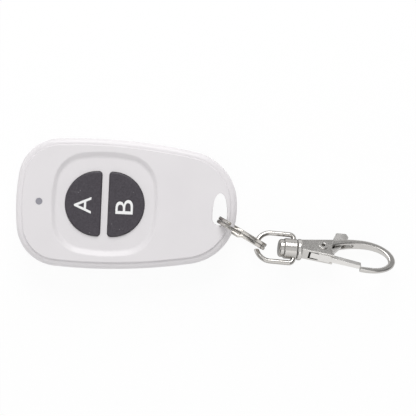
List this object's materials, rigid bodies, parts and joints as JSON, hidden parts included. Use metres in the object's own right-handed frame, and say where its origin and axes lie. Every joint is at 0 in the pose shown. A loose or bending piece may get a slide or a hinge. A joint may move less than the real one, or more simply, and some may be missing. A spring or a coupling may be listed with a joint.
{
  "type": "alarm key fob",
  "caption": "Alarm remote with D-shaped A and B keys, a lamp window and a lanyard slot in a plastic case, on a split ring with a swivel snap clasp.",
  "frame": {"origin": "centre of the fob's flat back, on the surface it lies on", "axes": "+X to the lanyard end of the fob, +Z out of the face with the keys"},
  "size_m": [0.1039, 0.0352, 0.015],
  "materials": {
    "case_plastic": "fine satin",
    "key_plastic": "fine satin",
    "window_plastic": "polished",
    "ring_nickel": "bright nickel",
    "clasp_nickel": "bright nickel",
    "spring_steel": "drawn",
    "screw_steel": "zinc plated",
    "board_laminate": "solder mask",
    "chip_resin": "moulded",
    "switch_resin": "moulded",
    "plunger_resin": "moulded",
    "led_resin": "clear",
    "can_steel": "plated",
    "copper": "tinned copper",
    "ceramic": "fired",
    "resistor_film": "fired",
    "cell_steel": "brushed",
    "contact_steel": "tinned"
  },
  "bodies": {
    "fob": {"front_cover": "case_plastic", "rear_cover": "case_plastic", "cover_screws": "screw_steel", "led_lens": "window_plastic", "switch_a_base": "switch_resin", "switch_b_base": "switch_resin", "circuit_board": "board_laminate", "status_led": "led_resin", "encoder_chip": "chip_resin", "saw_resonator": "can_steel", "rf_transistor": "chip_resin", "chip_capacitors": "ceramic", "chip_resistors": "resistor_film", "loop_antenna": "copper", "battery_cell": "cell_steel", "battery_negative_pad": "copper", "battery_clip": "contact_steel"},
    "key_a": {"button_a": "key_plastic", "switch_a_plunger": "plunger_resin"},
    "key_b": {"button_b": "key_plastic", "switch_b_plunger": "plunger_resin"},
    "ring": {"split_ring": "ring_nickel"},
    "loop": {"swivel_loop": "clasp_nickel"},
    "hook": {"clasp_hook": "clasp_nickel", "swivel_stud": "clasp_nickel", "gate_pin": "clasp_nickel", "gate_spring": "spring_steel"},
    "gate": {"gate_lever": "clasp_nickel"}
  },
  "joints": [
    {"name": "key_a_press", "type": "slide", "parent": "fob", "child": "key_a", "axis": [0, 0, -1], "range_m": [0, 0.0003], "stiffness_N_per_m": 400},
    {"name": "key_b_press", "type": "slide", "parent": "fob", "child": "key_b", "axis": [0, 0, -1], "range_m": [0, 0.0003], "stiffness_N_per_m": 400},
    {"name": "ring_swing", "type": "hinge", "parent": "fob", "child": "ring", "pos_m": [0.03046, -0.00568, 0.0075], "axis": [-0.4787, -0.878, 0], "range_deg": [-40, 60]},
    {"name": "loop_swing", "type": "hinge", "parent": "ring", "child": "loop", "pos_m": [0.03766, -0.0096, 0.0075], "axis": [0, 0, 1], "range_deg": [-65, 25]},
    {"name": "swivel", "type": "hinge", "parent": "loop", "child": "hook", "pos_m": [0.035, -0.00946, 0.00777], "axis": [0.9935, -0.0521, -0.1011], "continuous": true},
    {"name": "gate_open", "type": "hinge", "parent": "hook", "child": "gate", "pos_m": [0.05376, -0.00983, 0.00535], "axis": [0.1109, 0.6379, 0.7621], "range_deg": [0, 25], "stiffness_Nm_per_rad": 0.01, "springref_deg": -17.19, "deforming": ["gate_spring"]}
  ]
}
